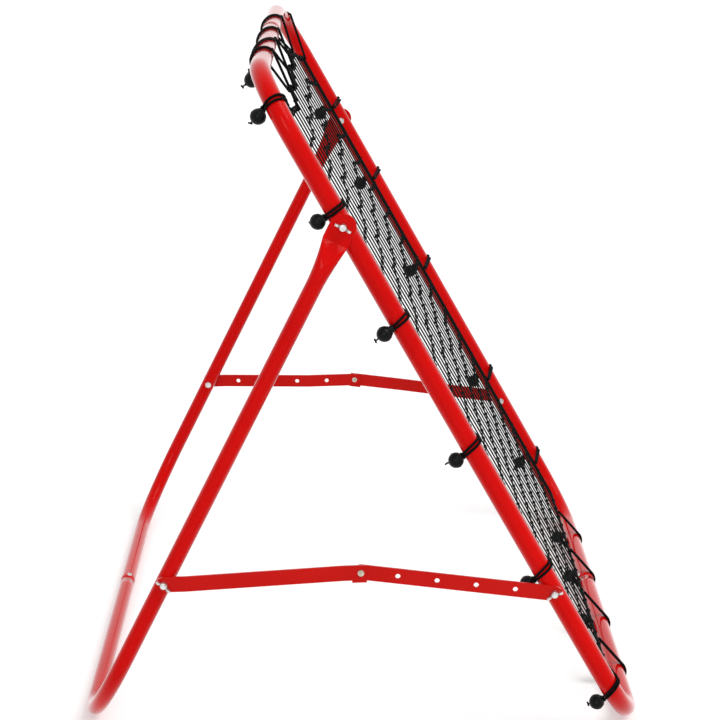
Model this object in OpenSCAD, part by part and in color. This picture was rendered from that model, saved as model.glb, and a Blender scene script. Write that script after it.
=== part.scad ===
// Pitch back rebounder: a net laced into a leaning tube frame, held up by a folding
// rear frame and two locking stays. Millimetres, +Z up, -Y towards the player.
// The origin is on the ground, under the middle of the whole object.

/* [Net frame] */
// Distance between the axes of the two side tubes
frame_span = 939; // [880:1:1040]
// Distance between the axes of the bottom and top bars
frame_rise = 1064; // [1040:1:1160]
// Outside diameter of the net frame's tube
frame_tube_d = 28; // [24:0.5:30]
// Wall of every tube
tube_wall = 1.2; // [1:0.1:1.6]
// Bend radius of the net frame's corners, to the tube's axis
frame_bend_r = 95; // [80:1:110]
// Angle between the net and the ground
net_angle = 60; // [58:0.5:64]
// How far one half of a frame plugs into the other half
spigot_length = 120; // [110:1:140]
// Distance of a seam screw from the seam
seam_screw_x = 100; // [80:1:104]

/* [Rear frame] */
// Outside diameter of the rear frame's tube
leg_tube_d = 23.5; // [20:0.5:26]
// Distance from the pivot to the axis of the rear bar
leg_length = 815; // [800:1:860]
// Bend radius of the rear frame's corners, to the tube's axis
leg_bend_r = 135; // [90:1:150]
// Distance of the pivot from the bottom bar's axis, along a side tube
pivot_s = 839; // [820:1:850]
// Thickness of the flattened end of a leg
ear_t = 3; // [2.6:0.1:4]
// Length of the flat below the pivot
ear_flat = 22; // [18:1:26]
// Length over which the flat end turns into the round tube
ear_taper = 48; // [36:1:60]

/* [Stays] */
// Distance of the front stay bolt from the bottom bar's axis, along a side tube
front_bolt_s = 243.5; // [238:0.5:250]
// Distance of the rear stay bolt from the pivot, along a leg
rear_bolt_t = 552; // [545:1:570]
// How far a stay's middle joint is locked above its straight line
stay_lock_rise = 20.5; // [16:0.5:24]
// Width of a stay's flat bar
stay_w = 22; // [18:0.5:24]
// Thickness of a stay's flat bar
stay_t = 2.5; // [2:0.1:3]
// Diameter of the bolt holes and adjusting holes in a stay
stay_hole_d = 7; // [6.6:0.1:8]
// Number of evenly spaced holes in a perforated half of a stay, its bolt hole among them
hole_count = 5; // [4:1:5]

/* [Fasteners] */
// Diameter of the bolts at the pivots and the stays
bolt_d = 6; // [5:0.5:6]
// Width of a bolt's hexagon head across its corners
bolt_head_d = 11.5; // [10:0.1:13]
// Height of a bolt's head
bolt_head_h = 4; // [3:0.1:5]
// Span of a wing nut from tip to tip
wing_span = 24; // [22:0.5:28]
// Height of a wing nut
wing_nut_h = 10; // [9:0.5:12]
// Diameter of a rivet's head
rivet_head_d = 9; // [9:0.1:12]
// Diameter of a seam screw's head
screw_head_d = 8; // [7:0.1:9]

/* [Net] */
// Distance of the net's side borders from the side tubes' axes
net_side_gap = 58; // [56:1:76]
// Distance of the net's lower border from the bottom bar's axis
net_low = 55; // [46:1:60]
// Distance of the net's upper corners from the top bar's axis
net_top_gap = 74; // [70:1:90]
// Number of meshes across the net
mesh_across = 17; // [12:1:17]
// Number of meshes up the net
mesh_up = 17; // [12:1:17]
// Thickness of the net's twine
twine_d = 2; // [1.6:0.1:2.4]
// Diameter of the cord round the net's border
border_d = 5; // [4:0.5:6]

/* [Elastic cords] */
// Diameter of the elastic cord
cord_d = 4; // [3.5:0.1:4.2]
// Distance between the two strands of a ball cord
strand_gap = 6; // [5.4:0.1:7]
// Diameter of the ball on a cord
ball_d = 22; // [20:0.5:24]
// Clearance between a ball and its tube
ball_clear = 2; // [1.5:0.1:3]

/* [Hidden] */

$fn = 48;
eps = 0.01;
play = 0.3;                       // gap between pieces that move on each other
fit = 0.08;                       // radial clearance of a bolt in its own hole
wall_play = 0.2;                  // radial clearance of a spigot in its socket
seat_gap = 0.05;                  // gap under the head of a screw, bolt or rivet
bore_over = 5;                    // how far a bore's cutter runs out past its tube

frame_r = frame_tube_d / 2;
leg_r = leg_tube_d / 2;
side_x = frame_span / 2;
cord_r = cord_d / 2;
border_r = border_d / 2;
ball_r = ball_d / 2;
bolt_r = bolt_d / 2;

// a cord lies against the tube that it wraps, with a hair of clearance
wrap_r = frame_r + play + cord_r;
wrap_out = wrap_r + cord_r;

// the bottom bar stands on the cords that pass under it, pressed flat where they touch
cord_press = cord_d / 10;
bar_z = wrap_out - cord_press;
pivot_z = bar_z + pivot_s * sin(net_angle);
leg_angle = asin((pivot_z - leg_r) / leg_length);
foot_spread = pivot_s * cos(net_angle) + leg_length * cos(leg_angle);
bar_y = -(foot_spread + leg_r - wrap_out) / 2;
pivot_y = bar_y + pivot_s * cos(net_angle);

// planes across the width, outwards from the middle
ear_x = side_x + frame_r + play;
leg_x = ear_x + leg_r;
leg_out = leg_x + leg_r + play;
stay_x = ear_x;
joint_x = stay_x + stay_t + play;

ear_r = PI * leg_r / 2;           // a tube of radius r flattens to a strip PI*r wide
stay_r = stay_w / 2;

// the stay's two bolts and its middle joint, in the Y-Z plane
front_bolt = [bar_y + front_bolt_s * cos(net_angle), bar_z + front_bolt_s * sin(net_angle)];
rear_bolt = [pivot_y + rear_bolt_t * cos(leg_angle), pivot_z - rear_bolt_t * sin(leg_angle)];
bolt_line = rear_bolt - front_bolt;
bolt_dist = norm(bolt_line);
stay_link = sqrt(pow(bolt_dist / 2, 2) + pow(stay_lock_rise, 2));
hole_pitch = 1.012 * stay_link / hole_count;
bolt_line_angle = atan2(bolt_line.y, bolt_line.x);
lock_angle = asin(stay_lock_rise / stay_link);

// ---------------------------------------------------------------- placing

module in_net_frame() {
    translate([0, bar_y, bar_z])
        rotate([net_angle, 0, 0])
            children();
}

module in_rear_frame() {
    translate([0, pivot_y, pivot_z])
        rotate([-leg_angle, 0, 0])
            children();
}

module at_front_bolt() {
    translate([0, front_bolt.x, front_bolt.y])
        children();
}

module at_rear_bolt() {
    translate([0, rear_bolt.x, rear_bolt.y])
        children();
}

// a stay half that starts at the front bolt and points back to the middle joint
module front_stay_place() {
    at_front_bolt()
        rotate([bolt_line_angle + lock_angle, 0, 0])
            children();
}

// a stay half that starts at the rear bolt and points forward to the middle joint
module rear_stay_place() {
    at_rear_bolt()
        rotate([bolt_line_angle - lock_angle, 0, 0])
            mirror([0, 1, 0])
                children();
}

// ---------------------------------------------------------------- tube frames

module rod_x(r, x0, x1) {
    translate([x0, 0, 0])
        rotate([0, 90, 0])
            cylinder(r = r, h = x1 - x0);
}

module rod_y(r, y0, y1) {
    translate([0, y0, 0])
        rotate([-90, 0, 0])
            cylinder(r = r, h = y1 - y0);
}

module bend(r, bend_r, start) {
    rotate([0, 0, start])
        rotate_extrude(angle = 90)
            translate([bend_r, 0])
                circle(r = r);
}

// the right half of the net frame as a solid rod, its bars cut off at x = from_x
module half_frame_rod(r, from_x) {
    inner_x = side_x - frame_bend_r;
    rod_x(r, from_x, inner_x);
    translate([0, frame_rise, 0])
        rod_x(r, from_x, inner_x);
    translate([inner_x, frame_bend_r, 0])
        bend(r, frame_bend_r, -90);
    translate([inner_x, frame_rise - frame_bend_r, 0])
        bend(r, frame_bend_r, 0);
    translate([side_x, 0, 0])
        rod_y(r, frame_bend_r, frame_rise - frame_bend_r);
}

// the right half of the rear frame as a solid rod, from below the flattened end
module half_leg_rod(r, from_x) {
    inner_x = leg_x - leg_bend_r;
    translate([0, leg_length, 0])
        rod_x(r, from_x, inner_x);
    translate([inner_x, leg_length - leg_bend_r, 0])
        bend(r, leg_bend_r, 0);
    translate([leg_x, 0, 0])
        rod_y(r, ear_end, leg_length - leg_bend_r);
}

// the reduced end that plugs into the other half, from the seam towards +X
module spigot(r) {
    socket_r = r - tube_wall;
    outer_r = socket_r - wall_play;
    shoulder = 20;
    difference() {
        union() {
            rod_x(outer_r, -shoulder, spigot_length);
            rod_x(socket_r + eps, -shoulder, 0);
        }
        rod_x(outer_r - tube_wall, -shoulder - 1, spigot_length + 1);
    }
}

screw_r = 2.5;

// a radial hole or shank at the seam screw's place; turn is its angle about the bar
module seam_radial(turn, radius, from_r, to_r) {
    translate([seam_screw_x, 0, 0])
        rotate([turn, 0, 0])
            translate([0, 0, from_r])
                cylinder(r = radius, h = to_r - from_r);
}

module seam_hole(turn, tube_r) {
    seam_radial(turn, screw_r + fit, 2, tube_r + 2);
}

module seam_screw(turn, tube_r) {
    head_h = 2.4;
    bevel = 1.2;
    shank = 7;
    cross = [4.6, 1, 2.2];
    seat = tube_r + seat_gap;
    seam_radial(turn, screw_r, tube_r - shank, seat + eps);
    translate([seam_screw_x, 0, 0])
        rotate([turn, 0, 0])
            translate([0, 0, seat])
                difference() {
                    cylinder(r1 = screw_head_d / 2, r2 = screw_head_d / 2 - bevel, h = head_h);
                    for (a = [0, 90])
                        translate([0, 0, head_h - 1])
                            rotate([0, 0, a])
                                cube(cross, center = true);
                }
}

bottom_screw_turn = -115;         // on the net's side of the bottom bar, turned to the back
top_screw_turn = 120;             // hidden under the top bar
rear_screw_turn = leg_angle + 16; // on top of the rear bar, turned to the front

module frame_bolt_holes() {
    for (s = [front_bolt_s, pivot_s])
        translate([0, s, 0])
            rod_x(bolt_r + fit, side_x - frame_r - bore_over, side_x + frame_r + bore_over);
}

module half_frame_tube() {
    difference() {
        half_frame_rod(frame_r, 0);
        half_frame_rod(frame_r - tube_wall, -1);
        frame_bolt_holes();
    }
}

module frame_seam_holes() {
    seam_hole(bottom_screw_turn, frame_r);
    translate([0, frame_rise, 0])
        seam_hole(top_screw_turn, frame_r);
}

module frame_half_right() {
    color("red")
        in_net_frame()
            difference() {
                half_frame_tube();
                frame_seam_holes();
            }
}

module frame_half_left() {
    color("red")
        in_net_frame() {
            mirror([1, 0, 0])
                half_frame_tube();
            difference() {
                union() {
                    spigot(frame_r);
                    translate([0, frame_rise, 0])
                        spigot(frame_r);
                }
                frame_seam_holes();
            }
        }
}

module frame_screws() {
    color("silver")
        in_net_frame() {
            seam_screw(bottom_screw_turn, frame_r);
            translate([0, frame_rise, 0])
                seam_screw(top_screw_turn, frame_r);
        }
}

// flattened end of a leg: a strip with a round end about the pivot
module ear() {
    translate([ear_x, 0, 0])
        rotate([0, 90, 0])
            cylinder(r = ear_r, h = ear_t);
    translate([ear_x, 0, -ear_r])
        cube([ear_t, ear_flat + eps, 2 * ear_r]);
}

ear_end = ear_flat + ear_taper;
ear_lap = 4;                      // how far the taper runs on inside the tube's wall
lap_depth = 0.2;                  // how deep its surface lies under the tube's there

// where the flat end opens out into the round tube
module ear_transition(flat_r, tube_r, flat_start, length) {
    mid_x = ear_x + ear_t / 2;
    edge = ear_r - ear_t / 2;
    hull() {
        for (side = [-1, 1])
            translate([mid_x, flat_start, side * edge])
                rotate([-90, 0, 0])
                    cylinder(r = flat_r, h = 0.1, $fn = 24);
        translate([leg_x, ear_end + 1, 0])
            rotate([-90, 0, 0])
                cylinder(r = tube_r, h = length, $fn = 32);
    }
}

module half_leg_tube() {
    difference() {
        union() {
            ear();
            ear_transition(ear_t / 2, leg_r - lap_depth, ear_flat, ear_lap);
            half_leg_rod(leg_r, 0);
        }
        half_leg_rod(leg_r - tube_wall, -1);
        ear_transition(ear_t / 2 - tube_wall, leg_r - tube_wall - lap_depth,
                       ear_flat + ear_lap, 1);
        rod_x(bolt_r + fit, ear_x - 1, ear_x + ear_t + 1);
        translate([0, rear_bolt_t, 0])
            rod_x(bolt_r + fit, leg_x - leg_r - bore_over, leg_x + leg_r + bore_over);
    }
}

module rear_leg_right() {
    color("red")
        in_rear_frame()
            difference() {
                half_leg_tube();
                translate([0, leg_length, 0])
                    seam_hole(rear_screw_turn, leg_r);
            }
}

module rear_leg_left() {
    color("red")
        in_rear_frame() {
            mirror([1, 0, 0])
                half_leg_tube();
            translate([0, leg_length, 0])
                difference() {
                    spigot(leg_r);
                    seam_hole(rear_screw_turn, leg_r);
                }
        }
}

module rear_screw() {
    color("silver")
        in_rear_frame()
            translate([0, leg_length, 0])
                seam_screw(rear_screw_turn, leg_r);
}

// ---------------------------------------------------------------- fasteners

bolt_tip = 2.5;                   // how far a bolt stands out of its wing nut's hub
nut_hub_h = wing_nut_h * 0.6;

// a bolt along +X with its head's seat at seat_x and its nut's seat at nut_x
module bolt(seat_x, nut_x) {
    rod_x(bolt_r, seat_x - eps, nut_x + nut_hub_h + bolt_tip);
    translate([seat_x - bolt_head_h, 0, 0])
        rotate([0, 90, 0])
            cylinder(d = bolt_head_d, h = bolt_head_h, $fn = 6);
}

module both_sides() {
    children();
    mirror([1, 0, 0])
        children();
}

frame_seat_x = side_x - frame_r - seat_gap;
leg_seat_x = leg_x - leg_r - seat_gap;
nut_play = 0.7;                   // gap under a wing nut that is free to turn
pivot_nut_x = ear_x + ear_t + nut_play;
front_nut_x = stay_x + stay_t + nut_play;
rear_nut_x = leg_out + stay_t + nut_play;

module pivot_bolts() {
    color("silver")
        both_sides()
            translate([0, pivot_y, pivot_z])
                bolt(frame_seat_x, pivot_nut_x);
}

module front_stay_bolts() {
    color("silver")
        both_sides()
            at_front_bolt()
                bolt(frame_seat_x, front_nut_x);
}

module rear_stay_bolts() {
    color("silver")
        both_sides()
            at_rear_bolt()
                bolt(leg_seat_x, rear_nut_x);
}

// outline of the two wings, in the plane of the bolt's axis (axis up)
module wing_outline() {
    tip_r = wing_nut_h * 0.27;
    root = 3.4;
    difference() {
        for (side = [-1, 1])
            hull() {
                translate([side * (wing_span / 2 - tip_r), wing_nut_h - tip_r])
                    circle(r = tip_r, $fn = 32);
                translate([side * root, 1.6])
                    circle(r = 1.5, $fn = 32);
            }
        translate([-bolt_r - 1, -1])
            square([2 * bolt_r + 2, wing_nut_h + 2]);
    }
}

// a wing nut standing on the plane z = 0, its wings along X
module wing_nut() {
    wing_t = 3.2;
    difference() {
        union() {
            cylinder(r1 = bolt_r + 2.5, r2 = bolt_r + 1.5, h = nut_hub_h);
            rotate([90, 0, 0])
                translate([0, 0, -wing_t / 2])
                    linear_extrude(wing_t)
                        wing_outline();
        }
        translate([0, 0, -1])
            cylinder(r = bolt_r + fit, h = wing_nut_h + 2);
    }
}

// a wing nut on the right side's bolt; turn is how its wings were left
module placed_wing_nut(seat_x, turn) {
    color("silver")
        translate([seat_x, 0, 0])
            rotate([turn, 0, 0])
                rotate([0, 90, 0])
                    wing_nut();
}

pivot_wing_turn = -62;            // angle of the wings on each side's nuts
front_wing_turn = 64;
rear_wing_turn = -51;

module right_pivot_wing_nut() {
    translate([0, pivot_y, pivot_z])
        placed_wing_nut(pivot_nut_x, pivot_wing_turn);
}

module left_pivot_wing_nut() {
    mirror([1, 0, 0])
        right_pivot_wing_nut();
}

module right_front_wing_nut() {
    at_front_bolt()
        placed_wing_nut(front_nut_x, front_wing_turn);
}

module left_front_wing_nut() {
    mirror([1, 0, 0])
        right_front_wing_nut();
}

module right_rear_wing_nut() {
    at_rear_bolt()
        placed_wing_nut(rear_nut_x, rear_wing_turn);
}

module left_rear_wing_nut() {
    mirror([1, 0, 0])
        right_rear_wing_nut();
}

// ---------------------------------------------------------------- stays

rivet_r = 3;
stay_flat = 30;                   // flat length at a stay's bolt, before it leans
joint_flat = 86;                  // flat at a middle joint whose halves would cross in folding
lean_flat = 24;                   // flat at a middle joint whose halves part in folding
stop_back = 12.5;                 // reach of the stop lip to each side of the rivet
stop_front = 8;
stop_drop = stay_r + 3.2;         // depth of the stop lip below the rivet

// the bar's shape seen from above, from the bolt at y = 0 to the rivet at y = stay_link
module stay_plan(bolt_x, rivet_x, flat) {
    start = -stay_r - 1;
    end = stay_link + stay_r + 1;
    points = [[bolt_x, start], [bolt_x, stay_flat], [rivet_x, stay_link - flat],
              [rivet_x, end]];
    outer = [for (i = [3:-1:0]) points[i] + [stay_t, 0]];
    translate([0, 0, -stay_w])
        linear_extrude(2 * stay_w)
            polygon(concat(points, outer));
}

// a hole or shank along X at a distance y from the bolt
module stay_bore(r, y, from_x = 0, to_x = 2 * leg_out) {
    translate([0, y, 0])
        rod_x(r, from_x, to_x);
}

module stay_bar(bolt_x, rivet_x, round_end, flat = joint_flat) {
    intersection() {
        stay_plan(bolt_x, rivet_x, flat);
        union() {
            stay_bore(stay_r, 0);
            translate([0, 0, -stay_r])
                cube([2 * leg_out, stay_link, stay_w]);
            if (round_end)
                stay_bore(stay_r, stay_link);
            else
                translate([0, stay_link - 1, -stay_r])
                    cube([2 * leg_out, stop_front + 1, stay_w]);
        }
    }
}

module stay_perforated(bolt_x, rivet_x) {
    difference() {
        stay_bar(bolt_x, rivet_x, true);
        for (i = [0 : hole_count - 1])
            stay_bore(stay_hole_d / 2, i * hole_pitch);
        stay_bore(rivet_r + fit, stay_link);
    }
}

// the plain half has a stop lip under its middle joint
module stay_plain(bolt_x, rivet_x, flat = joint_flat) {
    difference() {
        union() {
            stay_bar(bolt_x, rivet_x, false, flat);
            translate([rivet_x, stay_link - stop_back, -stop_drop])
                cube([stay_t, stop_back + stop_front, stop_drop]);
        }
        stay_bore(stay_hole_d / 2, 0);
        stay_bore(rivet_r + fit, stay_link);
    }
}

// one half of a rivet: its shank in one bar only, and its head with a blind hollow
module rivet_half(bar_x, head_side) {
    head_h = 1.6;
    wall = 1;
    floor_t = 0.8;
    head_x = head_side > 0 ? bar_x + stay_t + seat_gap : bar_x - seat_gap - head_h;
    translate([0, stay_link, 0])
        difference() {
            union() {
                rod_x(rivet_r, bar_x + seat_gap, bar_x + stay_t - seat_gap);
                rod_x(rivet_head_d / 2, head_x, head_x + head_h);
                if (head_side > 0)
                    rod_x(rivet_r, bar_x + stay_t - 2 * seat_gap, head_x + eps);
                else
                    rod_x(rivet_r, head_x + head_h - eps, bar_x + 2 * seat_gap);
            }
            if (head_side > 0)
                rod_x(rivet_r - wall, bar_x + floor_t, bar_x + stay_t + bore_over);
            else
                rod_x(rivet_r - wall, bar_x - bore_over, bar_x + stay_t - floor_t);
        }
}

module left_stay_perforated() {
    color("red")
        mirror([1, 0, 0])
            front_stay_place()
                stay_perforated(stay_x, stay_x);
}

module left_rivet_inner() {
    color("silver")
        mirror([1, 0, 0])
            front_stay_place()
                rivet_half(stay_x, -1);
}

module left_stay_plain() {
    color("red")
        mirror([1, 0, 0])
            rear_stay_place()
                stay_plain(leg_out, joint_x, lean_flat);
}

module left_rivet_outer() {
    color("silver")
        mirror([1, 0, 0])
            rear_stay_place()
                rivet_half(joint_x, 1);
}

module right_stay_perforated() {
    color("red")
        rear_stay_place()
            stay_perforated(leg_out, joint_x);
}

module right_rivet_inner() {
    color("silver")
        rear_stay_place()
            rivet_half(joint_x, -1);
}

module right_stay_plain() {
    color("red")
        front_stay_place()
            stay_plain(stay_x, joint_x + stay_t + play);
}

module right_rivet_outer() {
    color("silver")
        front_stay_place()
            rivet_half(joint_x + stay_t + play, 1);
}

// ---------------------------------------------------------------- net

half_net = side_x - net_side_gap;
net_high = frame_rise - net_top_gap;
border_corner = 12;               // bend radius of the border cord at the net's corners
net_seat = 0.1;                   // gap between the net and its border cord
net_inset = border_r + net_seat;

// The lacing draws the net's upper border up where it is tied. These are the two ends of the
// border and its four ties: places as shares of half the net's width, and heights above the
// left corner.
tie_at = [-1, -0.55, -0.264, 0.153, 0.545, 1];
tie_rise = [0, -12, 4, 15, 22, -14];
// how deep the border hangs between two ties, as a share of their distance
span_dip = [0.02, 0.1, 0.1, 0.1, 0.03];
span_steps = 6;

function tie(i) =
    [i == 0 || i == 5 ? tie_at[i] * (half_net - border_corner) : tie_at[i] * half_net,
     net_high + tie_rise[i]];

// a point of the upper border between ties i and i + 1, at the share t of the way
function top_point(i, t) =
    let (span = tie(i + 1) - tie(i))
    tie(i) + t * span - [0, 4 * span_dip[i] * span.x * t * (1 - t)];

function corner_arc(centre, start) =
    [for (a = [start : 15 : start + 90])
        centre + border_corner * [cos(a), sin(a)]];

border_line = concat(
    corner_arc([border_corner - half_net, net_low + border_corner], 180),
    corner_arc([half_net - border_corner, net_low + border_corner], 270),
    corner_arc(tie(5) - [0, border_corner], 0),
    [for (i = [4 : -1 : 0], k = [span_steps - 1 : -1 : i == 0 ? 1 : 0])
        top_point(i, k / span_steps)],
    corner_arc(tie(0) - [0, border_corner], 90));

// the mesh's lines, their outer ones along the border's sides and its bottom
module net_grid() {
    width = 2 * (half_net - net_inset);
    height = net_high + max(tie_rise) - net_low - 2 * net_inset;
    pitch_x = (width - twine_d) / mesh_across;
    pitch_y = (height - twine_d) / mesh_up;
    for (i = [0 : mesh_across])
        translate([net_inset - half_net + i * pitch_x, net_low])
            square([twine_d, height]);
    for (i = [0 : mesh_up])
        translate([-half_net, net_low + net_inset + i * pitch_y])
            square([2 * half_net, twine_d]);
}

module net_outline(inset) {
    offset(delta = -inset)
        polygon(border_line);
}

module net() {
    color("black")
        in_net_frame()
            translate([0, 0, -twine_d / 2])
                linear_extrude(twine_d) {
                    intersection() {
                        net_outline(net_inset);
                        net_grid();
                    }
                    difference() {
                        net_outline(net_inset);
                        net_outline(net_inset + twine_d);
                    }
                }
}

border_sides = 10;

// a closed round cord in the plane of a line of points that runs anticlockwise
module closed_cord(line, r) {
    count = len(line);
    n = border_sides;
    rings = [for (i = [0 : count - 1])
        let (ahead = unit(line[(i + 1) % count] - line[(i + count - 1) % count]))
        for (k = [0 : n - 1])
            let (a = 360 * k / n, out = r * cos(a))
            [line[i].x + out * ahead.y, line[i].y - out * ahead.x, r * sin(a)]];
    faces = [for (i = [0 : count - 1], k = [0 : n - 1])
        let (j = (i + 1) % count, m = (k + 1) % n,
             a = i * n + k, b = i * n + m, c = j * n + k, d = j * n + m)
        each [[a, b, c], [b, d, c]]];
    polyhedron(points = rings, faces = faces, convexity = 10);
}

module net_border() {
    color("black")
        in_net_frame()
            closed_cord(border_line, border_r);
}

// ---------------------------------------------------------------- cords

cord_sides = 8;

function unit(v) = v / norm(v);
function across(v, t) = unit(v - (v * t) * t);
function route_dir(p, i) = unit(p[min(i + 1, len(p) - 1)] - p[max(i - 1, 0)]);

// rings of points along a route, each turned as little as possible from the last
function tube_rings(p, radii) =
    [for (i = 0, t = route_dir(p, 0), u = across([1, 0.2, 0.1], t);
          i < len(p);
          i = i + 1,
          t = route_dir(p, min(i, len(p) - 1)),
          u = across(u, t))
        let (w = cross(t, u))
        for (k = [0 : cord_sides - 1])
            let (a = 360 * k / cord_sides)
            p[i] + radii[i] * (u * cos(a) + w * sin(a))];

// a cord of the given radii along a route of points
module cord_tube(p, radii) {
    n = cord_sides;
    last = (len(p) - 1) * n;
    side_faces = [for (i = [0 : len(p) - 2], k = [0 : n - 1])
        let (a = i * n + k, b = i * n + (k + 1) % n)
        each [[a, a + n, b], [b, a + n, b + n]]];
    start_cap = [for (k = [1 : n - 2]) [0, k, k + 1]];
    end_cap = [for (k = [1 : n - 2]) [last, last + k + 1, last + k]];
    polyhedron(points = tube_rings(p, radii), faces = concat(side_faces, start_cap, end_cap),
               convexity = 10);
}

// ---------------------------------------------------------------- ball cords

ball_dist = frame_r + ball_clear + ball_r;
neck_end = ball_r + 3;            // where a cord leaves the ball's neck
neck_r = cord_r + 0.6;            // radius of the ball's neck round each cord
nub_length = 4.5;                 // how far the knot's end stands out behind the ball
over_border = border_r + play + cord_r;
bight_past = 2;                   // how far a cord's loop reaches past the border
strand_z = strand_gap / 2;
wrap_steps = 8;                   // rings of a strand round its tube
bight_steps = 4;                  // rings of a loop's end

// A ball cord is drawn round a tube whose axis is Z: +X points away from the net and
// +Y to the player. Its two strands lie side by side along the tube.
function ball_pos(ball_at) = ball_dist * [cos(ball_at), sin(ball_at)];
function leave_angle(ball_at) = ball_at + acos(wrap_r / ball_dist);
function hook_pos(reach) = [-reach - bight_past, over_border];
function hook_angle(reach) =
    let (p = hook_pos(reach))
    atan2(p.y, p.x) - acos(wrap_r / norm(p));

// one strand from the ball's neck, round the tube, to the start of the loop
function strand(ball_at, reach, z) =
    let (start = leave_angle(ball_at),
         end = hook_angle(reach),
         from_ball = ball_pos(ball_at),
         to_leave = wrap_r * [cos(start), sin(start)] - from_ball,
         neck = from_ball + to_leave * neck_end / norm(to_leave))
    [[neck.x, neck.y, z],
     for (i = [0 : wrap_steps])
         let (a = start + (end - start) * i / wrap_steps)
         [wrap_r * cos(a), wrap_r * sin(a), z]];

// the loop's end, in the plane of the two strands
function bight(reach) =
    let (hook = hook_pos(reach),
         end = hook_angle(reach),
         run = unit(hook - wrap_r * [cos(end), sin(end)]))
    [for (i = [0 : bight_steps])
        let (a = -90 + 180 * i / bight_steps, p = hook + run * strand_z * cos(a))
        [p.x, p.y, strand_z * sin(a)]];

module ball_cord(ball_at, reach) {
    out = strand(ball_at, reach, -strand_z);
    back = strand(ball_at, reach, strand_z);
    route = concat(out, bight(reach), [for (i = [len(back) - 1 : -1 : 0]) back[i]]);
    cord_tube(route, [for (p = route) cord_r]);
}

// the ball, its neck with the cord's two ends, and the nub of the knot behind it
module cord_ball(ball_at) {
    centre = ball_pos(ball_at);
    start = leave_angle(ball_at);
    leave = wrap_r * [cos(start), sin(start)];
    d = leave - centre;
    $fn = 32;
    translate([centre.x, centre.y, 0])
        rotate([0, 0, atan2(d.y, d.x)]) {
            sphere(r = ball_r);
            for (z = [-strand_z, strand_z])
                translate([0, 0, z])
                    rod_x(neck_r, 0, neck_end);
            translate([0, -neck_r, -strand_z])
                cube([neck_end, 2 * neck_r, strand_gap]);
            rod_x(cord_r, -ball_r - nub_length, 0);
        }
}

// puts a ball cord on a side tube or its bends at height s; side is 1 right, -1 left
module on_side(side, s) {
    low = frame_bend_r;
    high = frame_rise - frame_bend_r;
    tilt = s < low ? asin((s - low) / frame_bend_r)
         : s > high ? asin((s - high) / frame_bend_r) : 0;
    centre_s = s < low ? low : s > high ? high : s;
    centre_x = side_x - frame_bend_r;
    translate([side * (centre_x + frame_bend_r * cos(tilt)),
               centre_s + frame_bend_r * sin(tilt), 0])
        rotate([0, 0, side > 0 ? tilt : 180 - tilt])
            rotate([90, 0, 0])
                children();
}

module on_bottom(x) {
    translate([x, 0, 0])
        rotate([0, 0, -90])
            rotate([90, 0, 0])
                children();
}

side_ball_at = -90;
bottom_ball_at = -132;

// heights of the ball cords along each side tube, as shares of the frame's rise
left_cords = frame_rise * [0.0733, 0.2641, 0.4586, 0.6485, 0.812, 0.9596];
right_cords = frame_rise * [0.1151, 0.2871, 0.5099, 0.6847, 0.82];
// places of the ball cords along the bottom bar, as shares of the frame's span
bottom_cords = frame_span * [-0.293, -0.095, 0.11, 0.312];

module left_ball_cords() {
    color("black")
        in_net_frame()
            for (s = left_cords)
                on_side(-1, s)
                    ball_cord(side_ball_at, net_side_gap);
}

module left_cord_balls() {
    color("black")
        in_net_frame()
            for (s = left_cords)
                on_side(-1, s)
                    cord_ball(side_ball_at);
}

module right_ball_cords() {
    color("black")
        in_net_frame()
            for (s = right_cords)
                on_side(1, s)
                    ball_cord(side_ball_at, net_side_gap);
}

module right_cord_balls() {
    color("black")
        in_net_frame()
            for (s = right_cords)
                on_side(1, s)
                    cord_ball(side_ball_at);
}

// the cords under the bottom bar carry it, and are pressed flat against the ground
module bottom_ball_cords() {
    ground = [frame_span, 4 * wrap_out, wrap_out];
    color("black")
        difference() {
            in_net_frame()
                for (x = bottom_cords)
                    on_bottom(x)
                        ball_cord(bottom_ball_at, net_low);
            translate([-ground.x / 2, bar_y - ground.y / 2, -ground.z])
                cube(ground);
        }
}

module bottom_cord_balls() {
    color("black")
        in_net_frame()
            for (x = bottom_cords)
                on_bottom(x)
                    cord_ball(bottom_ball_at);
}

// ---------------------------------------------------------------- top lacing

lace_r = wrap_r + 0.7;            // a faceted cord's turns keep clear of the bar
hook_r = border_r + cord_r + 3;   // the lacing passes the border and the net's edge twine
over_turn = 98;                   // half of the lacing's turn over the bar

// where the lacing crosses the top bar, as shares of half the net's width, and how far it
// moves along the bar for each degree of its turn
cross_at = [-0.71, -0.506, -0.05, 0.37];
cross_slant = [0.3, 0.95, 0.6, 0.65];

// the lacing's turn over the bar at crossing i, from one angle to another
function lace_over(i, from_turn, to_turn) =
    [for (k = [0 : 6])
        let (a = from_turn + (to_turn - from_turn) * k / 6)
        [cross_at[i] * half_net + a * cross_slant[i],
         frame_rise + lace_r * cos(a), lace_r * sin(a)]];

// the lacing's turn round the border at a point, from one angle to another
function lace_under(point, from_turn, to_turn) =
    [for (k = [0 : 4])
        let (a = from_turn + (to_turn - from_turn) * k / 4)
        [point.x, point.y + hook_r * cos(a), hook_r * sin(a)]];

hook_front = 80;
hook_back = 280;

// one turn over the right upper bend
bend_turn = 52;
function lace_corner() =
    let (out = [cos(bend_turn), sin(bend_turn)],
         centre = [side_x - frame_bend_r, frame_rise - frame_bend_r] + frame_bend_r * out)
    [for (k = [0 : 6])
        let (a = over_turn * (k / 3 - 1), p = centre + lace_r * cos(a) * out)
        [p.x, p.y, lace_r * sin(a)]];

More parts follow.
